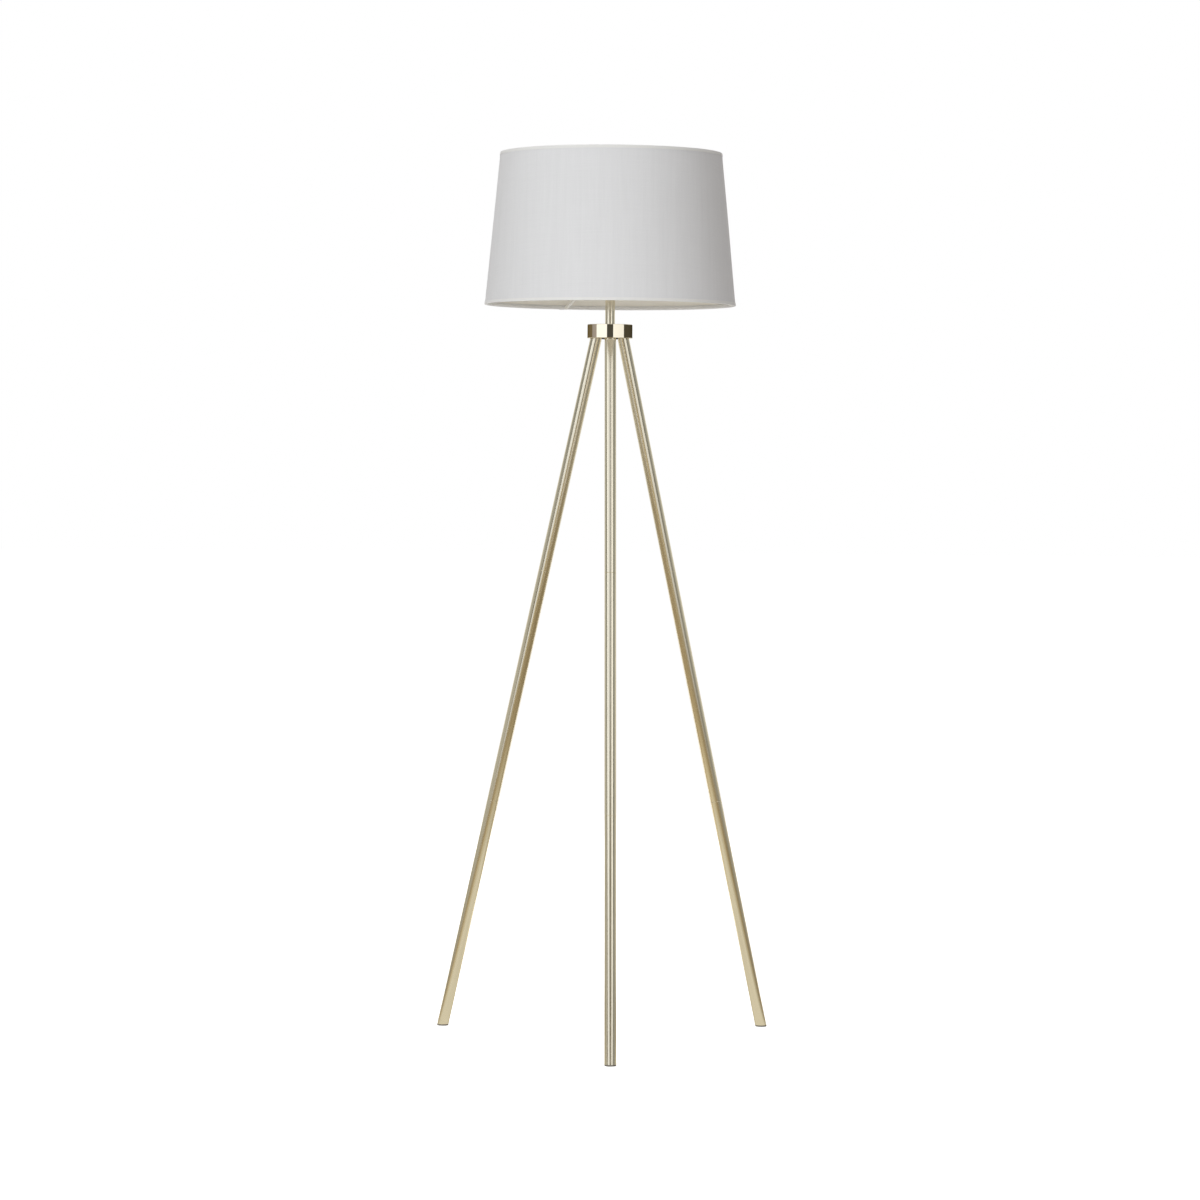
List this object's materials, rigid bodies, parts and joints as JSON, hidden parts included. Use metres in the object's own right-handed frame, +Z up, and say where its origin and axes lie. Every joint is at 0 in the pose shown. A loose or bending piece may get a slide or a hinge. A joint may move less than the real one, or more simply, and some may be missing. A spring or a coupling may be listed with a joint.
{
  "type": "tripod floor lamp",
  "caption": "Floor lamp with a tapered drum cloth shade on a short pole and round hub, standing on a tripod of slim pale-gold tube legs that unscrew into lengths.",
  "frame": {"origin": "on the lamp's upright axis, at the level of the floor that its feet stand on", "axes": "+Z up along the pole; -Y towards the front leg; +X to the lamp's right seen from the front"},
  "size_m": [0.5657, 0.5347, 1.48],
  "materials": {
    "polished_gold": "polished pale gold plating on steel",
    "zinc_plated_steel": "zinc-plated, turned",
    "foot_rubber": "dark, moulded",
    "black_plastic": "moulded, fine satin",
    "white_plastic": "moulded, satin white",
    "contact_brass": "bare pressed brass",
    "shade_cloth": "fine plain-weave cloth, light grey",
    "shade_lining": "smooth warm-white film",
    "white_paint": "white powder coat",
    "nickel": "nickel-bright, pressed",
    "bulb_insulation": "black, glassy",
    "opal_plastic": "opal, satin",
    "led_board": "white-coated board",
    "led_phosphor": "yellow phosphor"
  },
  "bodies": {
    "stand": {"cord_grommet": "black_plastic", "front_leg_foot_pad": "foot_rubber", "front_leg_head_plug": "zinc_plated_steel", "front_leg_joiners": "zinc_plated_steel", "front_leg_lower_tube": "polished_gold", "front_leg_middle_tube": "polished_gold", "front_leg_sockets": "zinc_plated_steel", "front_leg_upper_tube": "polished_gold", "holder_base": "black_plastic", "holder_centre_contact": "contact_brass", "holder_core": "white_plastic", "holder_screw_shell": "contact_brass", "holder_shell": "black_plastic", "holder_terminal_blocks": "contact_brass", "holder_terminal_screws": "zinc_plated_steel", "hub_disc": "polished_gold", "hub_nut": "zinc_plated_steel", "hub_washer": "zinc_plated_steel", "left_leg_foot_pad": "foot_rubber", "left_leg_head_plug": "zinc_plated_steel", "left_leg_joiners": "zinc_plated_steel", "left_leg_lower_tube": "polished_gold", "left_leg_middle_tube": "polished_gold", "left_leg_sockets": "zinc_plated_steel", "left_leg_upper_tube": "polished_gold", "pole_bushes": "zinc_plated_steel", "pole_seat_ring": "polished_gold", "pole_tube": "polished_gold", "right_leg_foot_pad": "foot_rubber", "right_leg_head_plug": "zinc_plated_steel", "right_leg_joiners": "zinc_plated_steel", "right_leg_lower_tube": "polished_gold", "right_leg_middle_tube": "polished_gold", "right_leg_sockets": "zinc_plated_steel", "right_leg_upper_tube": "polished_gold", "threaded_pipe": "zinc_plated_steel"},
    "shade": {"shade_arm_1": "white_paint", "shade_arm_2": "white_paint", "shade_arm_3": "white_paint", "shade_bottom_hem": "shade_cloth", "shade_bottom_wire": "white_paint", "shade_fabric": "shade_cloth", "shade_fitter_ring": "white_paint", "shade_liner": "shade_lining", "shade_top_hem": "shade_cloth", "shade_top_wire": "white_paint"},
    "collar": {"shade_collar": "black_plastic"},
    "bulb_carrier": {"bulb_eyelet": "nickel", "bulb_insulator": "bulb_insulation"},
    "bulb": {"bulb_body": "white_plastic", "bulb_cap": "nickel", "bulb_globe": "opal_plastic", "bulb_led_board": "led_board", "bulb_led_chips": "led_phosphor"}
  },
  "joints": [
    {"name": "shade_turn", "type": "hinge", "parent": "stand", "child": "shade", "pos_m": [0, 0, 1.291], "axis": [0, 0, 1], "continuous": true},
    {"name": "collar_turn", "type": "hinge", "parent": "stand", "child": "collar", "pos_m": [0, 0, 1.2955], "axis": [0, 0, 1], "range_deg": [0, 60]},
    {"name": "bulb_rise", "type": "slide", "parent": "stand", "child": "bulb_carrier", "axis": [0, 0, 1], "range_m": [0, 0.0118]},
    {"name": "bulb_turn", "type": "hinge", "parent": "bulb_carrier", "child": "bulb", "pos_m": [0, 0, 1.3], "axis": [0, 0, 1], "range_deg": [0, 1170]}
  ],
  "couplings": [
    {"joint": "bulb_rise", "follows": "bulb_turn", "m_per_rad": 0.00057757}
  ]
}
